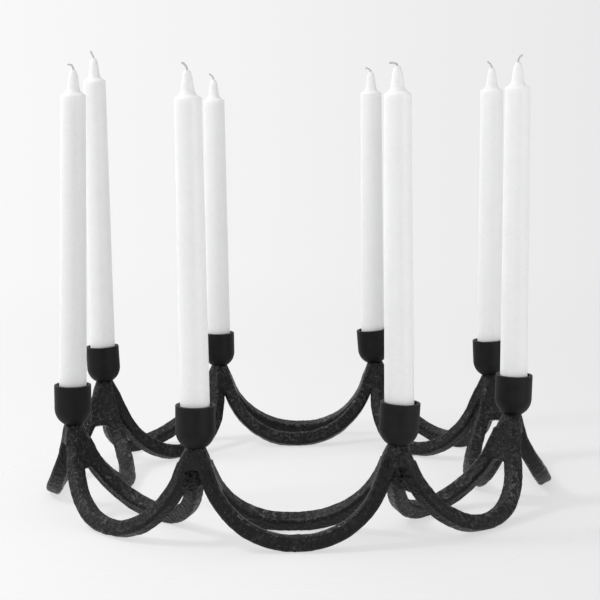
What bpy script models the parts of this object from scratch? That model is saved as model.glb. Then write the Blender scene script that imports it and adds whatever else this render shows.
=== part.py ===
"""Ring candelabrum for eight taper candles.

Eight four-legged castings stand in a ring. Each leg is butt-welded, halfway
across the bay, to the leg of the next casting, so that every bay is spanned by
an outer and an inner swag that stand on the table. A cup sits on each casting,
held by a countersunk screw through its floor, and takes one candle.
Units are metres, +Z is up, and the origin is on the table at the ring's centre.
"""
import math

import bmesh
import bpy
from mathutils import Matrix, Vector

MM = 0.001
GAP = 0.3 * MM

# Ring
POSTS = 8
RING_RADIUS = 190 * MM
FIRST_POST_AZIMUTH = 247.5
NECK_HEIGHT = 77 * MM

# Cast bar of the legs: its depth lies in the plane of the swag
BAR_DEPTH = 12 * MM
BAR_WIDTH = 12.5 * MM
BAR_TOP_SCALE = 0.9
BAR_CORNER = 1.8 * MM
LEG_ANGLE = 18.3
LEG_START_RUN = 1.6 * MM
LEG_START_SIDE = 0.5 * MM
LEG_OVERLAP = 4 * MM
LEG_BEND_STEPS = 12
LEG_LEVEL_END = 1 * MM
SPLAY_POWER = 1.4
FOOT_CENTRE_HEIGHT = 6.2 * MM

# Web between the two legs of one bay: shares of the leg's drop at its top, and at its arch's
# crown and springing
WEB_THICKNESS = 9.2 * MM
WEB_ANGLE = 20
WEB_TOP = 0.1
WEB_CROWN = 0.52
WEB_SPRINGING = 0.62

# The one casting that the exact Boolean solver can't join
MANIFOLD_CASTING = 7

# Hub, under the cup
HUB_HEIGHT = 15.5 * MM
HUB_TOP = (15 * MM, 13 * MM)
HUB_BOTTOM = (20 * MM, 17 * MM)
HUB_EDGE = 2 * MM
TAPPED_RADIUS = 2.5 * MM
TAPPED_DEPTH = 12 * MM

# Weld bead between two legs
WELD_LENGTH = 3.4 * MM
WELD_RISE = 0.5 * MM

# Cup
CUP_HEIGHT = 31.5 * MM
CUP_RADIUS = 14.7 * MM
CUP_SHOULDER = 12.5 * MM
CUP_FOOT_RADIUS = 7.8 * MM
CUP_BORE = 12.2 * MM
CUP_FLOOR = 4.4 * MM
CUP_LIP = 0.7 * MM
SCREW_HOLE = 2.6 * MM
SINK_RADIUS = 5 * MM
SINK_DEPTH = 2.4 * MM

# Screw
SHANK_RADIUS = 2.1 * MM
SHANK_LENGTH = 13 * MM
HEAD_RADIUS = 4.4 * MM
HEAD_HEIGHT = 2 * MM
SLOT_WIDTH = 1.1 * MM
SLOT_DEPTH = 0.9 * MM

# Candle and wick, heights above the candle's base
CANDLE_RADIUS = 11 * MM
CANDLE_TOP_RADIUS = 9.9 * MM
CANDLE_SHOULDER = 251 * MM
WICK_BORE = 1.3 * MM
WICK_RADIUS = 0.9 * MM
WICK_FOOT = 3 * MM
WICK_STICKS_OUT = 7 * MM
TIP = ((9.4, 0.8), (6.4, 2.6), (4.9, 6), (4.2, 12), (2.6, 18.5), (1.6, 20))

# Handwork: no two posts are quite alike. Shift of the hub (x, y, z) in mm, shift of the
# cup on the hub towards +X in mm, lean of the cup and of the candle towards +X in degrees,
# extra candle length in mm, and the turn of the wick's free end towards +X in degrees.
HANDWORK = (
    ((-1, 0, -2), 0, 1, 0, -3, -60),
    ((1, 0, -2), 1, 4, 0, -2, -85),
    ((-2, 0, -2), 0.5, 2, 0.5, 2, 60),
    ((1, 0, 3), -1.5, -2, 0.3, -4, -50),
    ((5, 0, -2), -1.5, -4, 0, 1, -75),
    ((-1, 0, -3), 0, 0, 0, -3, -60),
    ((3, 1, 2), 0.5, -2, 0, 10, -35),
    ((-3, -1, -5), 0, 1, 2, 4, -80),
)

# Feet of the two swags in the bay after each post: how far the outer one stands outside
# the chord between the posts, how far the inner one stands inside it, and how far each is
# moved along the bay towards the next post, in mm.
FEET = (
    (16, 40, 0, -3),
    (27, 33, 3, 4),
    (34, 25, 3, -3),
    (26, 28, -5, -3),
    (19, 30, -4, 0),
    (28, 26, 7, -1),
    (29, 29, 7, -2),
    (26, 26, 0, -5),
)


def ring_direction(azimuth):
    """Unit vector from the ring's centre at an azimuth in degrees."""
    return Vector((math.cos(math.radians(azimuth)), math.sin(math.radians(azimuth)), 0))


def post_azimuth(index):
    return FIRST_POST_AZIMUTH + index * 360 / POSTS


def neck(index):
    """Where the cup meets the hub."""
    shift = Vector(HANDWORK[index % POSTS][0]) * MM
    return ring_direction(post_azimuth(index)) * RING_RADIUS + Vector((0, 0, NECK_HEIGHT)) + shift


def lean(degrees):
    """Rotation that tips an upright piece towards +X."""
    return Matrix.Rotation(math.radians(degrees), 4, "Y")


def clear_scene():
    for obj in list(bpy.data.objects):
        bpy.data.objects.remove(obj, do_unlink=True)


def new_collection(name):
    collection = bpy.data.collections.new(name)
    bpy.context.scene.collection.children.link(collection)
    return collection


def new_material(name, colour, roughness, metallic):
    material = bpy.data.materials.new(name)
    material.use_nodes = True
    shader = material.node_tree.nodes["Principled BSDF"]
    shader.inputs["Base Color"].default_value = (*colour, 1)
    shader.inputs["Roughness"].default_value = roughness
    shader.inputs["Metallic"].default_value = metallic
    material.diffuse_color = (*colour, 1)
    return material


def add_object(name, data, collection, matrix=None, material=None):
    obj = bpy.data.objects.new(name, data)
    obj.matrix_world = matrix or Matrix.Identity(4)
    collection.objects.link(obj)
    if material:
        data.materials.append(material)
    return obj


def as_tool(obj):
    """A Boolean operand, which isn't a piece of the object."""
    obj.hide_render = True
    obj.display_type = "WIRE"
    return obj


def add_boolean(obj, tool, operation, solver="EXACT"):
    modifier = obj.modifiers.new(operation.lower(), "BOOLEAN")
    modifier.operation = operation
    modifier.solver = solver
    modifier.object = tool


def curve_to_mesh(curve_object):
    """Replaces a curve object by a closed mesh object in the same place."""
    depsgraph = bpy.context.evaluated_depsgraph_get()
    mesh = bpy.data.meshes.new_from_object(curve_object.evaluated_get(depsgraph))
    shape = bmesh.new()
    shape.from_mesh(mesh)
    bmesh.ops.remove_doubles(shape, verts=shape.verts, dist=0.01 * MM)
    bmesh.ops.recalc_face_normals(shape, faces=shape.faces)
    if shape.calc_volume(signed=True) < 0:
        bmesh.ops.reverse_faces(shape, faces=shape.faces)
    shape.to_mesh(mesh)
    shape.free()
    name = curve_object.name
    collection = curve_object.users_collection[0]
    matrix = curve_object.matrix_world.copy()
    bpy.data.objects.remove(curve_object, do_unlink=True)
    return add_object(name, mesh, collection, matrix)


def poly_curve(name, points, cyclic=False, flat=False):
    curve = bpy.data.curves.new(name, "CURVE")
    curve.dimensions = "2D" if flat else "3D"
    spline = curve.splines.new("POLY")
    spline.points.add(len(points) - 1)
    for target, point in zip(spline.points, points):
        target.co = (*point, 1) if len(point) == 3 else (*point, 0, 1)
    spline.use_cyclic_u = cyclic
    return curve


def rounded_rectangle(width, height, corner, steps=1):
    """Outline points, anticlockwise."""
    points = []
    for quarter in range(4):
        side_x = (1, -1, -1, 1)[quarter]
        side_y = (1, 1, -1, -1)[quarter]
        centre = Vector((side_x * (width / 2 - corner), side_y * (height / 2 - corner)))
        for step in range(steps + 1):
            angle = math.radians(90 * (quarter + step / steps))
            points.append(centre + corner * Vector((math.cos(angle), math.sin(angle))))
    return [tuple(point) for point in points]


def leg_line(run, drop):
    """Centre line of a leg seen square to its bay: straight down from the hub, then one round bend.

    It starts above (0, 0) inside the hub, and ends level at (run, -drop). The straight
    length and the bend's radius are the pair that reach that end at LEG_ANGLE.
    """
    bend_end = run - LEG_LEVEL_END
    start = math.radians(LEG_ANGLE)
    sine = math.sin(start)
    cosine = math.cos(start)
    scale = sine * (1 - sine) - cosine * cosine
    straight = (bend_end * (1 - sine) - drop * cosine) / scale
    radius = (drop * sine - bend_end * cosine) / scale
    points = [(-sine * LEG_OVERLAP, cosine * LEG_OVERLAP)]
    for step in range(LEG_BEND_STEPS + 1):
        angle = start + (math.pi / 2 - start) * step / LEG_BEND_STEPS
        across = straight * sine + radius * (cosine - math.cos(angle))
        down = straight * cosine + radius * (math.sin(angle) - sine)
        points.append((across, -down))
    points.append((run, -drop))
    return points


def bay_foot(index, side):
    """Middle of the bay after post index, at the bar's centre: side is 1 outside, -1 inside."""
    outward = ring_direction(post_azimuth(index + 0.5))
    along = Vector((-outward.y, outward.x, 0))
    outside, inside, outer_shift, inner_shift = FEET[index % POSTS]
    offset = outside * MM if side > 0 else -inside * MM
    shift = outer_shift * MM if side > 0 else inner_shift * MM
    chord_distance = RING_RADIUS * math.cos(math.pi / POSTS)
    return outward * (chord_distance + offset) + along * shift + Vector((0, 0, FOOT_CENTRE_HEIGHT))


def make_leg(name, index, hand, side, profile, tools):
    """One leg of casting index: hand is 1 towards the next post and -1 towards the one before.

    Seen along the bay it starts nearly upright and splays more and more towards its foot.
    Its section tilts with it, and grows from the hub to the foot.
    """
    bay = index if hand > 0 else index - 1
    outward = ring_direction(post_azimuth(bay + 0.5))
    along = hand * Vector((-outward.y, outward.x, 0))
    start = neck(index) + along * LEG_START_RUN + outward * side * LEG_START_SIDE
    reach = bay_foot(bay, side) - along * (WELD_LENGTH / 2 + GAP) - start
    drop = -reach.z
    splay = reach.dot(outward)
    points = []
    shares = []
    for across, height in leg_line(reach.dot(along), drop):
        part_way = max(-height / drop, 0)
        points.append((across, height, hand * splay * part_way ** SPLAY_POWER))
        shares.append(part_way)
    curve = poly_curve(name, points)
    for point, share in zip(curve.splines[0].points, shares):
        point.tilt = -hand * share * math.atan2(splay, drop)
        point.radius = BAR_TOP_SCALE + (1 - BAR_TOP_SCALE) * share
    curve.twist_mode = "Z_UP"
    curve.bevel_mode = "OBJECT"
    curve.bevel_object = profile
    curve.use_fill_caps = True
    matrix = Matrix((along, (0, 0, 1), hand * outward)).transposed().to_4x4()
    matrix.translation = start
    leg = add_object(name, curve, tools, matrix)
    bpy.context.view_layer.update()
    return as_tool(curve_to_mesh(leg))


def make_web(name, index, hand, tools):
    """Plate that joins the two legs of one bay from the hub down to a round arch."""
    bay = index if hand > 0 else index - 1
    outward = ring_direction(post_azimuth(bay + 0.5))
    along = hand * Vector((-outward.y, outward.x, 0))
    start = neck(index) + along * LEG_START_RUN
    length = (start.z - FOOT_CENTRE_HEIGHT) / math.cos(math.radians(WEB_ANGLE))
    flanks = []
    for side in (1, -1):
        offset = side * LEG_START_SIDE
        splay = (bay_foot(bay, side) - start).dot(outward) - offset
        shares = [WEB_TOP + (WEB_SPRINGING - WEB_TOP) * step / 4 for step in range(5)]
        flanks.append([(offset + splay * share ** SPLAY_POWER, -share * length) for share in shares])
    outer, inner = flanks
    middle = (outer[-1][0] + inner[-1][0]) / 2
    half = (outer[-1][0] - inner[-1][0]) / 2
    arch = []
    for step in range(1, 8):
        angle = math.pi * step / 8
        share = WEB_SPRINGING - (WEB_SPRINGING - WEB_CROWN) * math.sin(angle)
        arch.append((middle + half * math.cos(angle), -share * length))
    curve = poly_curve(name, outer + arch + inner[::-1], cyclic=True, flat=True)
    curve.fill_mode = "BOTH"
    curve.extrude = WEB_THICKNESS / 2
    up = Vector((0, 0, math.cos(math.radians(WEB_ANGLE)))) - along * math.sin(math.radians(WEB_ANGLE))
    matrix = Matrix((outward, up, outward.cross(up))).transposed().to_4x4()
    matrix.translation = start
    web = add_object(name, curve, tools, matrix)
    bpy.context.view_layer.update()
    return as_tool(curve_to_mesh(web))


def tapered_block(name, top, bottom, height, edge, collection, matrix):
    """A block from z = 0 down to -height, with its upright edges rounded."""
    shape = bmesh.new()
    bmesh.ops.create_cube(shape, size=1)
    for vertex in shape.verts:
        size = top if vertex.co.z > 0 else bottom
        level = 0 if vertex.co.z > 0 else -height
        vertex.co = (vertex.co.x * size[0], vertex.co.y * size[1], level)
    upright = [e for e in shape.edges if abs(e.verts[0].co.z - e.verts[1].co.z) > height / 2]
    bmesh.ops.bevel(shape, geom=upright, offset=edge, segments=2, profile=0.5, affect="EDGES")
    mesh = bpy.data.meshes.new(name)
    shape.to_mesh(mesh)
    shape.free()
    return add_object(name, mesh, collection, matrix)


def box_tool(name, size, matrix, tools):
    shape = bmesh.new()
    bmesh.ops.create_cube(shape, size=1)
    for vertex in shape.verts:
        vertex.co = [a * b for a, b in zip(vertex.co, size)]
    mesh = bpy.data.meshes.new(name)
    shape.to_mesh(mesh)
    shape.free()
    return as_tool(add_object(name, mesh, tools, matrix))


def cylinder_tool(name, radius, depth, matrix, tools):
    shape = bmesh.new()
    bmesh.ops.create_cone(
        shape, cap_ends=True, segments=12, radius1=radius, radius2=radius, depth=depth
    )
    mesh = bpy.data.meshes.new(name)
    shape.to_mesh(mesh)
    shape.free()
    return as_tool(add_object(name, mesh, tools, matrix))


def turned_mesh(name, profile, closed, segments, material):
    """A profile of (radius, height) points, top to bottom on the outside, turned about Z."""
    mesh = bpy.data.meshes.new(name)
    edges = [(i, i + 1) for i in range(len(profile) - 1)]
    if closed:
        edges.append((len(profile) - 1, 0))
    mesh.from_pydata([(radius, 0, height) for radius, height in profile], edges, [])
    mesh.materials.append(material)
    return mesh, segments


def add_turned(name, turned, collection, matrix):
    mesh, segments = turned
    obj = add_object(name, mesh, collection, matrix)
    screw = obj.modifiers.new("turn", "SCREW")
    screw.axis = "Z"
    screw.angle = math.tau
    screw.steps = segments
    screw.render_steps = segments
    screw.use_merge_vertices = True
    screw.merge_threshold = 0.00001
    screw.use_smooth_shade = True
    return obj


def casting_matrix(index):
    """Frame at the neck: X around the ring, Y outward, Z up."""
    outward = ring_direction(post_azimuth(index))
    around = Vector((outward.y, -outward.x, 0))
    matrix = Matrix((around, outward, Vector((0, 0, 1)))).transposed().to_4x4()
    matrix.translation = neck(index)
    return matrix


def cup_matrix(index):
    """Frame of the cup, from the middle of its underside up its axis."""
    seat = neck(index) + Vector((HANDWORK[index][1] * MM, 0, 0))
    return Matrix.Translation(seat) @ lean(HANDWORK[index][2])


def make_casting(index, profile, parts, tools, material):
    name = f"casting_{index + 1}"
    block = tapered_block(name, HUB_TOP, HUB_BOTTOM, HUB_HEIGHT, HUB_EDGE, parts, casting_matrix(index))
    block.data.materials.append(material)
    solver = "MANIFOLD" if index == MANIFOLD_CASTING else "EXACT"
    for hand in (1, -1):
        for side in (1, -1):
            tool = make_leg(f"{name}_leg_{hand}_{side}", index, hand, side, profile, tools)
            add_boolean(block, tool, "UNION", solver)
        web = make_web(f"{name}_web_{hand}", index, hand, tools)
        add_boolean(block, web, "UNION", solver)
    seat = cup_matrix(index) @ Matrix.Translation((0, 0, 10 * MM))
    top = box_tool(f"{name}_seat_tool", (60 * MM, 60 * MM, 20 * MM), seat, tools)
    add_boolean(block, top, "DIFFERENCE", solver)
    table = Matrix.Translation(ring_direction(post_azimuth(index)) * RING_RADIUS - Vector((0, 0, 10 * MM)))
    ground = box_tool(f"{name}_table_tool", (200 * MM, 200 * MM, 20 * MM), table, tools)
    add_boolean(block, ground, "DIFFERENCE", solver)
    bore = cup_matrix(index) @ Matrix.Translation((0, 0, 5 * MM - TAPPED_DEPTH / 2))
    hole = cylinder_tool(f"{name}_bore_tool", TAPPED_RADIUS, TAPPED_DEPTH + 10 * MM, bore, tools)
    add_boolean(block, hole, "DIFFERENCE", solver)
    return block


def make_weld(index, side, parts, tools, material):
    """Bead that fills the gap between the two legs of one swag, a little proud of the bar."""
    label = "outer" if side > 0 else "inner"
    outward = ring_direction(post_azimuth(index + 0.5))
    along = Vector((-outward.y, outward.x, 0))
    foot = bay_foot(index, side)
    rise = (neck(index) + neck(index + 1)) / 2 + outward * side * LEG_START_SIDE - foot
    up = (rise - rise.dot(along) * along).normalized()
    normal = along.cross(up)
    matrix = Matrix((normal, up, -along)).transposed().to_4x4()
    matrix.translation = foot
    outline = rounded_rectangle(BAR_WIDTH + 2 * WELD_RISE, BAR_DEPTH + 2 * WELD_RISE, BAR_CORNER + WELD_RISE)
    curve = poly_curve(f"weld_{label}_{index + 1}", outline, cyclic=True, flat=True)
    curve.fill_mode = "BOTH"
    curve.extrude = WELD_LENGTH / 2
    bead = add_object(curve.name, curve, parts, matrix)
    bpy.context.view_layer.update()
    bead = curve_to_mesh(bead)
    bead.data.materials.append(material)
    table = Matrix.Translation(foot.xy.to_3d() - Vector((0, 0, 10 * MM)))
    ground = box_tool(f"{bead.name}_table_tool", (40 * MM, 40 * MM, 20 * MM), table, tools)
    add_boolean(bead, ground, "DIFFERENCE")
    return bead


def cup_profile():
    """Closed section of the cup, down the outside and up the inside."""
    points = [(CUP_RADIUS - CUP_LIP, CUP_HEIGHT), (CUP_RADIUS, CUP_HEIGHT - CUP_LIP)]
    foot_angle = math.acos(CUP_FOOT_RADIUS / CUP_RADIUS)
    depth = CUP_SHOULDER / math.sin(foot_angle)
    for step in range(5):
        angle = foot_angle * step / 4
        points.append((CUP_RADIUS * math.cos(angle), CUP_SHOULDER - depth * math.sin(angle)))
    points += [(SCREW_HOLE, 0), (SCREW_HOLE, CUP_FLOOR - SINK_DEPTH), (SINK_RADIUS, CUP_FLOOR)]
    points += [(CUP_BORE - 4 * MM, CUP_FLOOR), (CUP_BORE - MM, CUP_FLOOR + MM), (CUP_BORE, CUP_FLOOR + 4 * MM)]
    points += [(CUP_BORE, CUP_HEIGHT - CUP_LIP / 2), (CUP_BORE + CUP_LIP / 2, CUP_HEIGHT)]
    return points


def screw_profile():
    """Half section of the screw, from the head's middle down to the tip."""
    return [
        (0, HEAD_HEIGHT),
        (HEAD_RADIUS, HEAD_HEIGHT),
        (SHANK_RADIUS, 0),
        (SHANK_RADIUS, MM - SHANK_LENGTH),
        (SHANK_RADIUS - MM, -SHANK_LENGTH),
        (0, -SHANK_LENGTH),
    ]


def candle_profile(extra):
    """Closed section of the candle, with the wick's bore through its middle."""
    shoulder = CANDLE_SHOULDER + extra
    points = [(radius * MM, shoulder + height * MM) for radius, height in reversed(TIP)]
    points += [(CANDLE_TOP_RADIUS, shoulder), (CANDLE_RADIUS, 12 * MM)]
    points += [(CANDLE_RADIUS - 0.2 * MM, 1.5 * MM), (CANDLE_RADIUS - 1.4 * MM, 0)]
    points += [(WICK_BORE, 0), (WICK_BORE, shoulder + TIP[-1][1] * MM)]
    return points


def wick_line(extra, turn):
    """Centre line of the wick: straight up the candle, then bent over above its tip."""
    tip = CANDLE_SHOULDER + extra + TIP[-1][1] * MM
    points = [(0, 0, WICK_FOOT), (0, 0, tip)]
    steps = 5
    place = Vector((0, 0, tip))
    for step in range(1, steps + 1):
        angle = math.radians(turn) * step / steps
        place = place + Vector((math.sin(angle), 0, math.cos(angle))) * WICK_STICKS_OUT / steps
        points.append(tuple(place))
    return points


def candle_matrix(index):
    """Frame of the candle at its base. Its axis crosses the cup's halfway down the bore."""
    middle = (CUP_HEIGHT - CUP_FLOOR) / 2
    inside = cup_matrix(index) @ Matrix.Translation((0, 0, CUP_FLOOR + middle))
    centre = Matrix.Translation(inside.translation) @ lean(HANDWORK[index][3])
    return centre @ Matrix.Translation((0, 0, 1.2 * MM - middle))


def main():
    clear_scene()
    parts = new_collection("candelabrum")
    tools = new_collection("tools")
    iron = new_material("cast_iron_black", (0.018, 0.018, 0.02), 0.55, 0.6)
    cup_black = new_material("cup_black", (0.016, 0.016, 0.018), 0.6, 0.5)
    bead = new_material("weld_black", (0.02, 0.02, 0.022), 0.65, 0.5)
    steel = new_material("screw_steel", (0.35, 0.34, 0.32), 0.4, 1)
    wax = new_material("white_wax", (0.9, 0.9, 0.88), 0.45, 0)
    cotton = new_material("wick_cotton", (0.82, 0.8, 0.74), 0.9, 0)

    outline = rounded_rectangle(BAR_DEPTH, BAR_WIDTH, BAR_CORNER)
    profile = add_object("bar_section", poly_curve("bar_section", outline, cyclic=True, flat=True), tools)
    as_tool(profile)

    cup = turned_mesh("cup", cup_profile(), True, 18, cup_black)
    screw = turned_mesh("cup_screw", screw_profile(), False, 12, steel)
    for index in range(POSTS):
        number = index + 1
        extra = HANDWORK[index][4] * MM
        make_casting(index, profile, parts, tools, iron)
        for side in (1, -1):
            make_weld(index, side, parts, tools, bead)
        seat = cup_matrix(index) @ Matrix.Translation((0, 0, GAP))
        add_turned(f"cup_{number}", cup, parts, seat)
        head = seat @ Matrix.Translation((0, 0, CUP_FLOOR - SINK_DEPTH + GAP))
        fastener = add_turned(f"cup_screw_{number}", screw, parts, head)
        slot = head @ Matrix.Translation((0, 0, HEAD_HEIGHT))
        size = (SLOT_WIDTH, 4 * HEAD_RADIUS, 2 * SLOT_DEPTH)
        add_boolean(fastener, box_tool(f"slot_tool_{number}", size, slot, tools), "DIFFERENCE")
        candle = turned_mesh(f"candle_{number}", candle_profile(extra), True, 16, wax)
        add_turned(f"candle_{number}", candle, parts, candle_matrix(index))
        curve = poly_curve(f"wick_{number}", wick_line(extra, HANDWORK[index][5]))
        curve.bevel_depth = WICK_RADIUS
        curve.bevel_resolution = 1
        curve.use_fill_caps = True
        curve.materials.append(cotton)
        add_object(f"wick_{number}", curve, parts, candle_matrix(index))


main()
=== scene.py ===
"""The looks of the ring candelabrum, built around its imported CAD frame.

The castings and weld beads are remeshed from their CAD nodes and given a sand-cast skin.
Cups, screws and candles are turned again, finely, on their nodes' axes, and wicks are
swept along their candles' axes. Units are metres, +Z is up.
"""
import math

import bmesh
import bpy
import numpy as np
from mathutils import Matrix, Vector, noise


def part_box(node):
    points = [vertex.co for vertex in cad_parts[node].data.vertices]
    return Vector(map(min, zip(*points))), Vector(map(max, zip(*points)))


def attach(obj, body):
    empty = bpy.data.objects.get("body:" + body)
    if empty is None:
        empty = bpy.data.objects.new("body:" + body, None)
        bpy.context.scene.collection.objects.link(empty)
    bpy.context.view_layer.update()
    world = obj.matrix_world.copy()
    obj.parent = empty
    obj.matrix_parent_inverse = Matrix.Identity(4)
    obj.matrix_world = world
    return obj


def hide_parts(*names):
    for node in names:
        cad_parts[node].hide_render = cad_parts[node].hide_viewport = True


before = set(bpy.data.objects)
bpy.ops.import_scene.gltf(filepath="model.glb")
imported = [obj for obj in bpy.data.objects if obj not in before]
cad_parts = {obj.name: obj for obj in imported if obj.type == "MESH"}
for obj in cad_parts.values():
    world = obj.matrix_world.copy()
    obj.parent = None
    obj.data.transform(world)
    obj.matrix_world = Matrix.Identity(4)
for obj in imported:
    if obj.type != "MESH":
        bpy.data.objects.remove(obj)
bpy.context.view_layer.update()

MM = 0.001
POSTS = 8

# A face belongs to a turned node's flat end when its normal has at least this much Z
FLAT_END = 0.985

# Camera: in front and a little above, with a long lens. Angles in degrees, lens in mm.
CAMERA_PLACE = (2.4 * MM, -1238 * MM, 324 * MM)
CAMERA_DOWN = 7.57
CAMERA_TURN = -0.11
CAMERA_ROLL = -0.79
CAMERA_LENS = 88.8

# Backdrop's brightness at the left and at the right. Above the floor, the room keeps this
# share of it behind the camera, and the shade keeps this share at the far right.
BACKDROP_LEVELS = (0.965, 0.805)
ROOM_LEVEL = 0.42
SHADE_LEVEL = 0.35

# The floor fades from this clearness to fully clear, between these distances from its
# middle. The first is below zero, so the floor is already fading at its middle.
FLOOR_RADIUS = 6
FLOOR_CLEARNESS = 0.6
FLOOR_FADE = (-0.6, 1.8)
FLOOR_COLOUR = (0.85, 0.85, 0.85, 1)

# Area lights: name, place, target, size of the two sides, power in watts
LIGHTS = (
    ("key_left", (-1.2, -0.25, 1.65), (0, 0, 0.1), (0.4, 0.4), 17),
    ("fill_right", (1.9, -1.6, 0.5), (0, 0, 0.2), (1.2, 1.2), 20),
    ("fill_left", (-1.0, -2.3, 0.4), (0, 0, 0.2), (1.2, 1.2), 5),
)

# Remeshing
MERGE_DISTANCE = 0.01 * MM

# Cast surface
CAST_VOXEL = 0.55 * MM
CAST_SMOOTHING = 5
CAST_REGAIN = 0.05 * MM
DENT_SIZE = 14 * MM
DENT_DEPTH = 0.4 * MM
LUMP_SIZE = 5 * MM
LUMP_DEPTH = 0.2 * MM
SPATTER_REACH = 13 * MM
SPATTER_SIZE = 2.6 * MM
SPATTER_DEPTH = 0.3 * MM
SPATTER_FLOOR = 0.1
LUMP_SEED = 20
SPATTER_SEED = 40

# Weld beads
BEAD_VOXEL = 0.45 * MM
BEAD_SMOOTHING = 6
BEAD_HALF_LENGTH = 1.7 * MM
BEAD_STRETCH = 3.2
BEAD_FLAT = 2.2 * MM
BEAD_SINK = 0.9 * MM
BEAD_LUMP_SIZE = 2 * MM
BEAD_LUMP_DEPTH = 0.35 * MM
BEAD_SET_IN = 0.3 * MM
BEAD_SEEDS = {"outer": 60, "inner": 80}

# Iron paints: dark, light and worn colour, share of bare specks, roughness from and to
CAST_PAINT = (
    (0.0006, 0.0006, 0.0007),
    (0.0022, 0.0023, 0.0026),
    (0.13, 0.13, 0.136),
    0.2,
    (0.22, 0.46),
)
BEAD_PAINT = (
    (0.003, 0.003, 0.0033),
    (0.012, 0.0125, 0.0135),
    (0.14, 0.14, 0.146),
    0.3,
    (0.24, 0.46),
)

# Painted highlight: a light grey put on the high spots that face up, standing in for the sheen the
# light from above gives them
PAINTED_HIGHLIGHT_GREY = (0.085, 0.085, 0.09)

# Neck of a casting, right under the cup
NECK_RADIUS = 6.9 * MM
NECK_SLOPE = 0.5
NECK_REACH = 12 * MM
NECK_PULL = 0.8

# Cup, heights above its underside
CUP_RADIUS = 14.7 * MM
CUP_FOOT_RADIUS = 7.8 * MM
CUP_SHOULDER = 12.5 * MM
CUP_BORE = 12.2 * MM
CUP_FLOOR = 4.4 * MM
CUP_LIP = 0.55 * MM
SCREW_HOLE = 2.6 * MM
SINK_RADIUS = 5 * MM
SINK_DEPTH = 2.4 * MM
CUP_CORNER = 3 * MM
CUP_SEGMENTS = 112
CUP_SPACING = 1.2 * MM
CUP_WAVE = 0.07 * MM
CUP_WAVE_SIZE = 9 * MM
RIM_BAND = 1.2 * MM
RIM_CHIP = 0.22 * MM
RIM_CHIP_SIZE = 2.2 * MM
RIM_CHIP_SEED = 9

# Screw, heights above the tip of its shank
SCREW_SHANK = 2.1 * MM
SCREW_HEAD = 4.4 * MM
SCREW_HEAD_HEIGHT = 2 * MM
SLOT_WIDTH = 1.1 * MM
SLOT_DEPTH = 0.9 * MM
SCREW_EDGE = 0.25 * MM
SCREW_SEGMENTS = 64
SCREW_SPACING = 1.5 * MM
SHARP_ANGLE = 35

# A solid turned piece keeps a bore this thin along its axis
NEEDLE_BORE = 0.02 * MM

# Candle
CANDLE_RADIUS = 11 * MM
CANDLE_TOP_RADIUS = 9.9 * MM
CANDLE_TIP_LENGTH = 20 * MM
CANDLE_TIP = (
    (9.7, 0.4),
    (8.6, 1.2),
    (7, 2.1),
    (5.9, 3.3),
    (5.1, 5),
    (4.6, 8),
    (4.2, 12),
    (3.6, 15.5),
    (2.8, 18.3),
)
CANDLE_SEGMENTS = 72
CANDLE_SPACING = 3 * MM
CANDLE_WAVE = 0.07 * MM
CANDLE_WAVE_SIZE = 14 * MM
CANDLE_WAVE_STRETCH = 0.35
WICK_BORE = 0.85 * MM
WICK_RADIUS = 0.85 * MM
WICK_STICKS_OUT = 7 * MM
WICK_STRANDS = 3
WICK_TWIST_LENGTH = 2.6 * MM
WICK_SIDES = 15
WICK_STEP = 0.35 * MM
WICK_FOOT = 3 * MM
WICK_FINE_LENGTH = 6 * MM
WICK_END = 0.75

# How each wick's free end is bent: turn towards +X in degrees at its foot and at its end
WICK_BENDS = (
    (-20, -75),
    (-70, -100),
    (10, 85),
    (-30, -60),
    (-40, -95),
    (-30, -70),
    (-30, -20),
    (-15, -130),
)


def smooth_step(value):
    value = np.clip(value, 0, 1)
    return value * value * (3 - 2 * value)


# ---------------------------------------------------------------- reading the frame


def flat_faces(node, upward):
    """The faces of a turned CAD node that lie square to its axis."""
    sign = 1 if upward else -1
    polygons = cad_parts[node].data.polygons
    return [face for face in polygons if face.normal.z * sign > FLAT_END]


def axis_frame(node):
    """Matrix from the middle of a turned node's underside up its axis, and its height along it."""
    axis = Vector()
    for upward in (True, False):
        for face in flat_faces(node, upward):
            axis += face.normal * face.area * (1 if upward else -1)
    axis.normalize()
    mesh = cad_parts[node].data
    lowest = min(vertex.co.dot(axis) for vertex in mesh.vertices)
    highest = max(vertex.co.dot(axis) for vertex in mesh.vertices)
    centre = Vector()
    area = 0
    for face in flat_faces(node, False):
        if face.center.dot(axis) < lowest + 0.1 * MM:
            centre += face.center * face.area
            area += face.area
    side = Vector((0, 1, 0)).cross(axis).normalized()
    matrix = Matrix((side, axis.cross(side), axis)).transposed().to_4x4()
    matrix.translation = centre / area
    return matrix, highest - lowest


def weld_frame(node):
    """Middle of a weld bead, and the direction of the bar through it."""
    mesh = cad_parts[node].data
    end = max(mesh.polygons, key=lambda face: face.area)
    low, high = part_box(node)
    return (low + high) / 2, end.normal.copy()


# ---------------------------------------------------------------- making pieces


def new_piece(name, mesh, material, body, slot, *nodes):
    mesh.materials.clear()
    mesh.materials.append(material)
    piece = bpy.data.objects.new(name, mesh)
    bpy.context.scene.collection.objects.link(piece)
    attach(piece, body)
    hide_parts(*nodes)
    return piece


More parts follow.
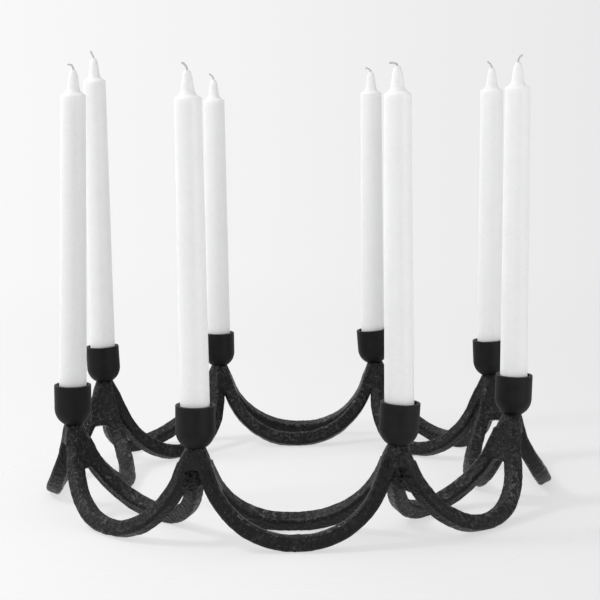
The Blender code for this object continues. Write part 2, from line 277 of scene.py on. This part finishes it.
def remeshed(mesh, voxel, smoothing):
    """A copy of a mesh as an even skin with softened edges."""
    source = bpy.data.objects.new("source", mesh.copy())
    bpy.context.scene.collection.objects.link(source)
    weld = source.modifiers.new("weld", "WELD")
    weld.merge_threshold = MERGE_DISTANCE
    remesh = source.modifiers.new("remesh", "REMESH")
    remesh.mode = "VOXEL"
    remesh.voxel_size = voxel
    smooth = source.modifiers.new("smooth", "SMOOTH")
    smooth.factor = 0.5
    smooth.iterations = smoothing
    depsgraph = bpy.context.evaluated_depsgraph_get()
    result = bpy.data.meshes.new_from_object(source.evaluated_get(depsgraph))
    bpy.data.objects.remove(source, do_unlink=True)
    result.shade_smooth()
    return result


def read_points(mesh):
    count = len(mesh.vertices)
    points = np.empty(count * 3, np.float32)
    mesh.vertices.foreach_get("co", points)
    normals = np.empty(count * 3, np.float32)
    mesh.vertex_normals.foreach_get("vector", normals)
    return points.reshape(-1, 3).astype(float), normals.reshape(-1, 3).astype(float)


def write_points(mesh, points):
    mesh.vertices.foreach_set("co", points.astype(np.float32).ravel())
    mesh.update()


def lumps(points, size, seed):
    """Smooth noise from -1 to 1 with features of about that size."""
    offset = Vector((seed * 7.3, seed * 3.1, seed * 5.7))
    return np.array([noise.noise(Vector(point) / size + offset) for point in points])


def turned_mesh(name, profile, segments):
    """A closed section of (radius, height) points turned about Z."""
    rings = len(profile)
    vertices = []
    for step in range(segments):
        angle = math.tau * step / segments
        vertices += [(r * math.cos(angle), r * math.sin(angle), z) for r, z in profile]
    faces = []
    for step in range(segments):
        here = step * rings
        there = (step + 1) % segments * rings
        for ring in range(rings):
            after = (ring + 1) % rings
            faces.append((here + ring, here + after, there + after, there + ring))
    mesh = bpy.data.meshes.new(name)
    mesh.from_pydata(vertices, [], faces)
    shape = bmesh.new()
    shape.from_mesh(mesh)
    bmesh.ops.remove_doubles(shape, verts=shape.verts, dist=0.002 * MM)
    bmesh.ops.recalc_face_normals(shape, faces=shape.faces)
    shape.to_mesh(mesh)
    shape.free()
    mesh.shade_smooth()
    return mesh


def arc(centre, radius, start, end, steps):
    """Points of (radius, height) on a circle, angles in degrees from straight out."""
    points = []
    for step in range(steps + 1):
        angle = math.radians(start + (end - start) * step / steps)
        points.append((centre[0] + radius * math.cos(angle), centre[1] + radius * math.sin(angle)))
    return points


def subdivided(profile, spacing):
    """The closed section with points no further apart than the spacing."""
    points = []
    for here, there in zip(profile, profile[1:] + profile[:1]):
        parts = max(1, math.ceil(math.dist(here, there) / spacing))
        for part in range(parts):
            share = part / parts
            radius = here[0] + (there[0] - here[0]) * share
            points.append((radius, here[1] + (there[1] - here[1]) * share))
    return points


# ---------------------------------------------------------------- materials


class Shader:
    """A material with a Principled shader, and short ways to feed it."""

    def __init__(self, name):
        self.material = bpy.data.materials.new(name)
        self.material.use_nodes = True
        self.nodes = self.material.node_tree.nodes
        self.links = self.material.node_tree.links
        self.shader = self.nodes["Principled BSDF"]
        self.place = self.nodes.new("ShaderNodeTexCoord").outputs["Object"]

    def set(self, **values):
        for name, value in values.items():
            self.shader.inputs[name.replace("_", " ")].default_value = value

    def noise(self, size, detail=3, roughness=0.55, distortion=0.0):
        node = self.nodes.new("ShaderNodeTexNoise")
        node.inputs["Scale"].default_value = 1 / size
        node.inputs["Detail"].default_value = detail
        node.inputs["Roughness"].default_value = roughness
        node.inputs["Distortion"].default_value = distortion
        self.links.new(self.place, node.inputs["Vector"])
        return node.outputs["Fac"]

    def ramp(self, value, low, high):
        """The value stretched so that low gives 0 and high gives 1."""
        node = self.nodes.new("ShaderNodeMapRange")
        node.interpolation_type = "SMOOTHSTEP"
        node.inputs["From Min"].default_value = low
        node.inputs["From Max"].default_value = high
        self.links.new(value, node.inputs["Value"])
        return node.outputs["Result"]

    def levels(self, value, low, high):
        """The value from 0 to 1 mapped on to low to high."""
        node = self.nodes.new("ShaderNodeMapRange")
        node.inputs["To Min"].default_value = low
        node.inputs["To Max"].default_value = high
        self.links.new(value, node.inputs["Value"])
        return node.outputs["Result"]

    def math(self, operation, first, second):
        node = self.nodes.new("ShaderNodeMath")
        node.operation = operation
        for socket, value in zip(node.inputs, (first, second)):
            if isinstance(value, (int, float)):
                socket.default_value = value
            else:
                self.links.new(value, socket)
        return node.outputs["Value"]

    def mix(self, factor, first, second):
        """Two colours, each a tuple or a socket, mixed by a factor."""
        node = self.nodes.new("ShaderNodeMix")
        node.data_type = "RGBA"
        self.links.new(factor, node.inputs["Factor"])
        for name, value in (("A", first), ("B", second)):
            socket = [s for s in node.inputs if s.name == name and s.type == "RGBA"][0]
            if isinstance(value, tuple):
                socket.default_value = (*value, 1)
            else:
                self.links.new(value, socket)
        return [s for s in node.outputs if s.type == "RGBA"][0]

    def edges(self, low, high):
        """1 on raised edges, 0 elsewhere."""
        pointed = self.nodes.new("ShaderNodeNewGeometry").outputs["Pointiness"]
        return self.ramp(pointed, low, high)

    def feed(self, name, value):
        self.links.new(value, self.shader.inputs[name])

    def bump(self, height, distance, strength, below=None):
        node = self.nodes.new("ShaderNodeBump")
        node.inputs["Distance"].default_value = distance
        node.inputs["Strength"].default_value = strength
        self.links.new(height, node.inputs["Height"])
        if below:
            self.links.new(below, node.inputs["Normal"])
        self.links.new(node.outputs["Normal"], self.shader.inputs["Normal"])
        return node.outputs["Normal"]


def cast_iron(name, dark, light, worn, bare_share, roughness):
    """Matt black paint over a sand-cast skin: grains in patches, with a painted highlight of light
    grey on the grains that face up, and rubbed edges and bare specks.
    """
    shader = Shader(name)
    shader.set(Metallic=0.0, Specular_IOR_Level=0.26)
    patches = shader.ramp(shader.noise(11 * MM, 3, 0.6, 0.5), 0.44, 0.58)
    grains = shader.ramp(shader.noise(3.0 * MM, 2, 0.6), 0.44, 0.64)
    granules = shader.math("MULTIPLY", grains, shader.levels(patches, 0.25, 1.0))
    facing = shader.nodes.new("ShaderNodeSeparateXYZ")
    shader.links.new(shader.nodes.new("ShaderNodeNewGeometry").outputs["Normal"], facing.inputs[0])
    upward = shader.ramp(facing.outputs["Z"], 0.1, 0.7)
    # Painted highlight: the grains that face up are lightened towards a light grey, where the light
    # from above would catch them
    painted_highlight = shader.math("MULTIPLY", shader.levels(granules, 0.05, 1.0), upward)
    colour = shader.mix(painted_highlight, shader.mix(granules, dark, light), PAINTED_HIGHLIGHT_GREY)
    specks = shader.ramp(shader.noise(1.5 * MM, 2, 0.5), 0.62, 0.7)
    rubbed = shader.math("MULTIPLY", shader.edges(0.53, 0.6), shader.levels(grains, 0.3, 1.0))
    dusty = shader.math("MULTIPLY", shader.math("MULTIPLY", specks, patches), bare_share)
    bare = shader.math("MAXIMUM", shader.math("MULTIPLY", rubbed, 0.7), dusty)
    shader.feed("Base Color", shader.mix(bare, colour, worn))
    shader.feed("Roughness", shader.levels(shader.math("SUBTRACT", 1.0, granules), *roughness))
    hollows = shader.bump(shader.noise(6 * MM, 2, 0.5), 1.2 * MM, 0.6)
    shader.bump(granules, 1.1 * MM, 1.0, hollows)
    return shader.material


def cup_iron():
    """The cups' paint: smoother and more even, pale only along the rim."""
    shader = Shader("cup_paint")
    shader.set(Metallic=0.0, Specular_IOR_Level=0.2)
    cloud = shader.ramp(shader.noise(7 * MM, 4, 0.6), 0.35, 0.7)
    colour = shader.mix(cloud, (0.002, 0.002, 0.0022), (0.006, 0.006, 0.0064))
    grain = shader.ramp(shader.noise(1.2 * MM, 3, 0.6), 0.4, 0.65)
    rubbed = shader.math("MULTIPLY", shader.edges(0.515, 0.56), shader.levels(grain, 0.2, 1.0))
    shader.feed("Base Color", shader.mix(rubbed, colour, (0.09, 0.09, 0.092)))
    shader.feed("Roughness", shader.levels(cloud, 0.5, 0.6))
    shader.bump(shader.noise(1.1 * MM, 4, 0.65), 0.15 * MM, 0.4)
    return shader.material


def screw_steel():
    shader = Shader("screw_steel")
    shader.set(Metallic=1.0)
    cloud = shader.noise(2 * MM, 3, 0.6)
    shader.feed("Base Color", shader.mix(cloud, (0.30, 0.29, 0.27), (0.52, 0.51, 0.48)))
    shader.feed("Roughness", shader.levels(cloud, 0.28, 0.5))
    shader.bump(shader.noise(0.25 * MM, 3, 0.6), 0.03 * MM, 0.4)
    return shader.material


def candle_wax():
    """White wax: light goes a little way in, and the skin has a faint bloom."""
    shader = Shader("candle_wax")
    shader.set(Subsurface_Weight=0.75, Subsurface_Scale=6 * MM, Subsurface_Radius=(1.0, 0.95, 0.9))
    shader.set(Specular_IOR_Level=0.35)
    cloud = shader.ramp(shader.noise(16 * MM, 4, 0.6, 0.5), 0.3, 0.7)
    bloom = shader.ramp(shader.noise(2.5 * MM, 4, 0.65), 0.35, 0.75)
    tint = shader.mix(cloud, (0.795, 0.797, 0.797), (0.82, 0.822, 0.822))
    shader.feed("Base Color", shader.mix(bloom, tint, (0.835, 0.837, 0.837)))
    shader.feed("Roughness", shader.levels(bloom, 0.4, 0.56))
    soft = shader.bump(shader.noise(5 * MM, 2, 0.5), 0.1 * MM, 0.2)
    shader.bump(shader.noise(0.9 * MM, 4, 0.6), 0.05 * MM, 0.25, soft)
    return shader.material


def wick_cotton():
    shader = Shader("wick_cotton")
    shader.set(Sheen_Weight=0.3, Sheen_Roughness=0.5)
    fibre = shader.noise(0.3 * MM, 5, 0.75)
    shader.feed("Base Color", shader.mix(fibre, (0.36, 0.36, 0.355), (0.66, 0.66, 0.65)))
    shader.feed("Roughness", shader.levels(fibre, 0.75, 0.95))
    shader.bump(shader.noise(0.18 * MM, 4, 0.7), 0.08 * MM, 0.6)
    return shader.material


# ---------------------------------------------------------------- the pieces


def ground_neck(points, seat):
    """Points of a casting drawn in to a cone that starts at the cup's foot."""
    origin = np.array(seat.translation)
    axis = np.array(seat.to_3x3().col[2])
    height = (points - origin) @ axis
    centre = origin + height[:, None] * axis
    out = points - centre
    radius = np.linalg.norm(out, axis=1)
    limit = NECK_RADIUS + NECK_SLOPE * np.maximum(-height, 0)
    over = np.maximum(radius - limit, 0) * (height > -NECK_REACH)
    return points - out * (NECK_PULL * over / np.maximum(radius, 0.1 * MM))[:, None]


def make_casting(number, welds, material):
    """A casting with softened edges, shallow dents, and a rougher skin near its welds."""
    node = f"casting_{number}"
    mesh = remeshed(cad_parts[node].data, CAST_VOXEL, CAST_SMOOTHING)
    mesh.name = f"cast_post_{number}"
    points, normals = read_points(mesh)
    depth = CAST_REGAIN + DENT_DEPTH * lumps(points, DENT_SIZE, number)
    depth += LUMP_DEPTH * lumps(points, LUMP_SIZE, number + LUMP_SEED)
    nearest = np.full(len(points), np.inf)
    for middle in welds:
        nearest = np.minimum(nearest, np.linalg.norm(points - np.array(middle), axis=1))
    rough = smooth_step(1.6 - nearest / SPATTER_REACH)
    spatter = np.zeros(len(points))
    close = rough > 0
    bumps = lumps(points[close], SPATTER_SIZE, number + SPATTER_SEED)
    spatter[close] = np.maximum(bumps - SPATTER_FLOOR, -SPATTER_FLOOR)
    depth += SPATTER_DEPTH * rough * spatter
    points += normals * depth[:, None]
    points = ground_neck(points, axis_frame(f"cup_{number}")[0])
    points[:, 2] = np.maximum(points[:, 2], 0)
    write_points(mesh, points)
    return new_piece(f"cast_post_{number}", mesh, material, "frame", "cast_iron", node)


def make_bead(number, side, material):
    """A weld, a little proud in the middle and sinking into the bars on both sides."""
    node = f"weld_{side}_{number}"
    middle, along = weld_frame(node)
    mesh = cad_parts[node].data.copy()
    stretch = Matrix.Scale(BEAD_STRETCH, 4, along)
    mesh.transform(Matrix.Translation(middle) @ stretch @ Matrix.Translation(-middle))
    bead = remeshed(mesh, BEAD_VOXEL, BEAD_SMOOTHING)
    bpy.data.meshes.remove(mesh)
    bead.name = f"bead_{side}_{number}"
    points, normals = read_points(bead)
    offset = np.abs((points - np.array(middle)) @ np.array(along))
    seed = number + BEAD_SEEDS[side]
    half = BEAD_STRETCH * BEAD_HALF_LENGTH
    depth = -BEAD_SINK * smooth_step((offset - BEAD_FLAT) / (half - BEAD_FLAT))
    depth += BEAD_LUMP_DEPTH * lumps(points, BEAD_LUMP_SIZE, seed) - BEAD_SET_IN
    points += normals * depth[:, None]
    points[:, 2] = np.maximum(points[:, 2], 0)
    write_points(bead, points)
    return new_piece(bead.name, bead, material, "frame", "weld_bead", node)


def cup_section(height):
    """Closed section of the cup, down the outside and up the inside, with a rounded lip."""
    foot_angle = math.degrees(math.acos(CUP_FOOT_RADIUS / CUP_RADIUS))
    depth = CUP_SHOULDER / math.sin(math.radians(foot_angle))
    section = arc((CUP_RADIUS - CUP_LIP, height - CUP_LIP), CUP_LIP, 90, 0, 4)
    for step in range(25):
        angle = math.radians(foot_angle * step / 24)
        section.append((CUP_RADIUS * math.cos(angle), CUP_SHOULDER - depth * math.sin(angle)))
    section += [(SCREW_HOLE, 0), (SCREW_HOLE, CUP_FLOOR - SINK_DEPTH), (SINK_RADIUS, CUP_FLOOR)]
    section += arc((CUP_BORE - CUP_CORNER, CUP_FLOOR + CUP_CORNER), CUP_CORNER, -90, 0, 8)
    section += arc((CUP_BORE + CUP_LIP, height - CUP_LIP), CUP_LIP, 180, 90, 4)
    return subdivided(section, CUP_SPACING)


def make_cup(number, material):
    node = f"cup_{number}"
    matrix, height = axis_frame(node)
    mesh = turned_mesh(f"cup_bowl_{number}", cup_section(height), CUP_SEGMENTS)
    points, normals = read_points(mesh)
    wave = CUP_WAVE * lumps(points, CUP_WAVE_SIZE, number)
    near_rim = smooth_step((points[:, 2] - height + RIM_BAND) / RIM_BAND)
    pits = np.maximum(lumps(points, RIM_CHIP_SIZE, number + RIM_CHIP_SEED), 0)
    chips = -RIM_CHIP * near_rim * pits
    points += normals * (wave + chips)[:, None]
    points[:, 2] = np.clip(points[:, 2], 0, height)
    write_points(mesh, points)
    mesh.transform(matrix)
    return new_piece(mesh.name, mesh, material, "frame", "cup_iron", node)


def make_screw(number, material):
    node = f"cup_screw_{number}"
    matrix, height = axis_frame(node)
    section = [(NEEDLE_BORE, height), (SCREW_HEAD - SCREW_EDGE, height)]
    section += [(SCREW_HEAD, height - SCREW_EDGE), (SCREW_SHANK, height - SCREW_HEAD_HEIGHT)]
    section += [(SCREW_SHANK, MM), (SCREW_SHANK - MM, 0), (NEEDLE_BORE, 0)]
    mesh = turned_mesh(f"screw_{number}", subdivided(section, SCREW_SPACING), SCREW_SEGMENTS)
    piece = bpy.data.objects.new("screw", mesh)
    bpy.context.scene.collection.objects.link(piece)
    cutter_mesh = bpy.data.meshes.new("slot")
    shape = bmesh.new()
    bmesh.ops.create_cube(shape, size=1)
    size = Vector((SLOT_WIDTH, 3 * SCREW_HEAD, 2 * SLOT_DEPTH))
    bmesh.ops.transform(shape, matrix=Matrix.Diagonal(size).to_4x4(), verts=shape.verts)
    shape.to_mesh(cutter_mesh)
    shape.free()
    cutter = bpy.data.objects.new("slot", cutter_mesh)
    cutter.location.z = height
    bpy.context.scene.collection.objects.link(cutter)
    cut = piece.modifiers.new("slot", "BOOLEAN")
    cut.operation = "DIFFERENCE"
    cut.object = cutter
    depsgraph = bpy.context.evaluated_depsgraph_get()
    result = bpy.data.meshes.new_from_object(piece.evaluated_get(depsgraph))
    bpy.data.objects.remove(piece, do_unlink=True)
    bpy.data.objects.remove(cutter, do_unlink=True)
    result.shade_smooth()
    result.set_sharp_from_angle(angle=math.radians(SHARP_ANGLE))
    result.transform(matrix)
    return new_piece(f"slotted_screw_{number}", result, material, "frame", "screw_steel", node)


def candle_section(height):
    """Closed section of the candle round its wick's bore."""
    shoulder = height - CANDLE_TIP_LENGTH
    section = [(WICK_BORE, height), (1.5 * MM, height - 0.1 * MM), (2.1 * MM, height - 0.6 * MM)]
    section += [(radius * MM, shoulder + above * MM) for radius, above in reversed(CANDLE_TIP)]
    section += [(CANDLE_TOP_RADIUS, shoulder - 0.8 * MM), (CANDLE_RADIUS, 12 * MM)]
    section += [(CANDLE_RADIUS - 0.1 * MM, 2 * MM), (CANDLE_RADIUS - 0.5 * MM, 0.7 * MM)]
    section += [(CANDLE_RADIUS - 1.4 * MM, 0), (WICK_BORE, 0)]
    return subdivided(section, CANDLE_SPACING)


def make_candle(number, material):
    node = f"candle_{number}"
    matrix, height = axis_frame(node)
    mesh = turned_mesh(f"taper_{number}", candle_section(height), CANDLE_SEGMENTS)
    points, normals = read_points(mesh)
    flattened = points * np.array((1, 1, CANDLE_WAVE_STRETCH))
    wave = CANDLE_WAVE * (lumps(flattened, CANDLE_WAVE_SIZE, number) - 0.4)
    outside = np.hypot(points[:, 0], points[:, 1]) > 1.4 * MM
    points += normals * (wave * outside)[:, None]
    write_points(mesh, points)
    mesh.transform(matrix)
    return new_piece(mesh.name, mesh, material, f"candle_{number}", "wax", node)


def wick_route(height, bend):
    """Points up the candle's middle, then along the bent free end."""
    start = height - WICK_FINE_LENGTH
    points = [Vector((0, 0, WICK_FOOT)), Vector((0, 0, start * 0.5))]
    fine_steps = int(WICK_FINE_LENGTH / WICK_STEP)
    points += [Vector((0, 0, start + WICK_STEP * k)) for k in range(fine_steps + 1)]
    count = int(WICK_STICKS_OUT / WICK_STEP)
    for k in range(1, count + 1):
        share = k / count
        angle = math.radians(bend[0] * min(1, 3 * share) + (bend[1] - bend[0]) * share * share)
        ahead = Vector((math.sin(angle), 0.12 * math.sin(3 * share), math.cos(angle)))
        points.append(points[-1] + WICK_STEP * ahead)
    return points


def make_wick(number, material):
    """Strands twisted round each other, drawn in at the very end."""
    matrix, height = axis_frame(f"candle_{number}")
    route = wick_route(height, WICK_BENDS[number - 1])
    vertices = []
    length = 0
    for index, place in enumerate(route):
        ahead = route[min(index + 1, len(route) - 1)] - route[max(index - 1, 0)]
        tangent = ahead.normalized()
        across = Vector((0, 1, 0)).cross(tangent).normalized()
        upward = tangent.cross(across)
        length += (place - route[index - 1]).length if index else 0
        last = index == len(route) - 1
        for side in range(WICK_SIDES):
            angle = math.tau * side / WICK_SIDES
            twist = angle * WICK_STRANDS + math.tau * length / WICK_TWIST_LENGTH
            radius = WICK_RADIUS * (0.82 + 0.18 * math.cos(twist)) * (WICK_END if last else 1)
            vertices.append(place + radius * (math.cos(angle) * across + math.sin(angle) * upward))
    faces = []
    for index in range(len(route) - 1):
        here = index * WICK_SIDES
        there = here + WICK_SIDES
        for side in range(WICK_SIDES):
            after = (side + 1) % WICK_SIDES
            faces.append((here + side, here + after, there + after, there + side))
    faces.append(tuple(reversed(range(WICK_SIDES))))
    faces.append(tuple(len(vertices) - WICK_SIDES + side for side in range(WICK_SIDES)))
    mesh = bpy.data.meshes.new(f"braided_wick_{number}")
    mesh.from_pydata([tuple(vertex) for vertex in vertices], [], faces)
    mesh.shade_smooth()
    mesh.transform(matrix)
    return new_piece(mesh.name, mesh, material, f"candle_{number}", "wick_cotton", f"wick_{number}")


# ---------------------------------------------------------------- the studio


def make_floor():
    """A pale table top that fades into the backdrop far from the object."""
    mesh = bpy.data.meshes.new("floor")
    shape = bmesh.new()
    bmesh.ops.create_circle(shape, cap_ends=True, segments=96, radius=FLOOR_RADIUS)
    shape.to_mesh(mesh)
    shape.free()
    floor = bpy.data.objects.new("floor", mesh)
    bpy.context.scene.collection.objects.link(floor)
    shader = Shader("pale_floor")
    shader.set(Base_Color=FLOOR_COLOUR, Roughness=0.8, Specular_IOR_Level=0.15)
    distance = shader.nodes.new("ShaderNodeVectorMath")
    distance.operation = "LENGTH"
    shader.links.new(shader.place, distance.inputs[0])
    far = shader.ramp(distance.outputs["Value"], *FLOOR_FADE)
    fade = shader.levels(far, FLOOR_CLEARNESS, 1)
    clear = shader.nodes.new("ShaderNodeBsdfTransparent")
    blend = shader.nodes.new("ShaderNodeMixShader")
    shader.links.new(fade, blend.inputs[0])
    shader.links.new(shader.shader.outputs[0], blend.inputs[1])
    shader.links.new(clear.outputs[0], blend.inputs[2])
    shader.links.new(blend.outputs[0], shader.nodes["Material Output"].inputs["Surface"])
    mesh.materials.append(shader.material)


def add_area_light(name, place, target, size, power):
    data = bpy.data.lights.new(name, "AREA")
    data.shape = "RECTANGLE"
    data.size, data.size_y = size
    data.energy = power
    light = bpy.data.objects.new(name, data)
    light.location = place
    aim = Vector(target) - Vector(place)
    light.rotation_euler = aim.to_track_quat("-Z", "Y").to_euler()
    bpy.context.scene.collection.objects.link(light)


def graded(nodes, links, value, start, end, low, high):
    """The value from start to end mapped on to low to high, in the world's shader."""
    node = nodes.new("ShaderNodeMapRange")
    node.inputs["From Min"].default_value = start
    node.inputs["From Max"].default_value = end
    node.inputs["To Min"].default_value = low
    node.inputs["To Max"].default_value = high
    links.new(value, node.inputs["Value"])
    return node.outputs["Result"]


def make_world():
    """White backdrop, brighter to the left. Above the floor, the room is darker behind the
    camera and at the far right.
    """
    world = bpy.data.worlds.new("studio")
    world.use_nodes = True
    nodes = world.node_tree.nodes
    links = world.node_tree.links
    direction = nodes.new("ShaderNodeTexCoord").outputs["Generated"]
    split = nodes.new("ShaderNodeSeparateXYZ")
    links.new(direction, split.inputs[0])
    level = graded(nodes, links, split.outputs["X"], -0.25, 0.25, *BACKDROP_LEVELS)
    above = graded(nodes, links, split.outputs["Z"], -0.15, 0.05, 0, 1)
    darkened = (("Y", -0.9, 0.3, ROOM_LEVEL, 1), ("X", 0.3, 1, 1, SHADE_LEVEL))
    for axis, start, end, low, high in darkened:
        factor = graded(nodes, links, split.outputs[axis], start, end, low, high)
        unshaded = nodes.new("ShaderNodeMix")
        links.new(above, unshaded.inputs["Factor"])
        unshaded.inputs["A"].default_value = 1
        links.new(factor, unshaded.inputs["B"])
        product = nodes.new("ShaderNodeMath")
        product.operation = "MULTIPLY"
        links.new(level, product.inputs[0])
        links.new(unshaded.outputs["Result"], product.inputs[1])
        level = product.outputs["Value"]
    links.new(level, nodes["Background"].inputs["Strength"])
    nodes["Background"].inputs["Color"].default_value = (1, 1, 1, 1)
    bpy.context.scene.world = world
    bpy.context.scene.view_settings.view_transform = "Standard"


def make_studio():
    make_floor()
    make_world()
    for light in LIGHTS:
        add_area_light(*light)


def make_camera():
    data = bpy.data.cameras.new("camera")
    data.lens = CAMERA_LENS
    data.sensor_width = 36
    camera = bpy.data.objects.new("camera", data)
    turn = Matrix.Rotation(math.radians(CAMERA_TURN), 4, "Z")
    tip = Matrix.Rotation(math.radians(90 - CAMERA_DOWN), 4, "X")
    roll = Matrix.Rotation(math.radians(CAMERA_ROLL), 4, "Z")
    camera.matrix_world = Matrix.Translation(CAMERA_PLACE) @ turn @ tip @ roll
    bpy.context.scene.collection.objects.link(camera)
    bpy.context.scene.camera = camera


def main():
    make_camera()
    iron = cast_iron("cast_paint", *CAST_PAINT)
    bead = cast_iron("bead_paint", *BEAD_PAINT)
    cup = cup_iron()
    steel = screw_steel()
    wax = candle_wax()
    cotton = wick_cotton()
    sides = ("outer", "inner")
    welds = [weld_frame(f"weld_{side}_{k}")[0] for side in sides for k in range(1, POSTS + 1)]
    for number in range(1, POSTS + 1):
        make_casting(number, welds, iron)
        for side in sides:
            make_bead(number, side, bead)
        make_cup(number, cup)
        make_screw(number, steel)
        make_candle(number, wax)
        make_wick(number, cotton)
    make_studio()


main()
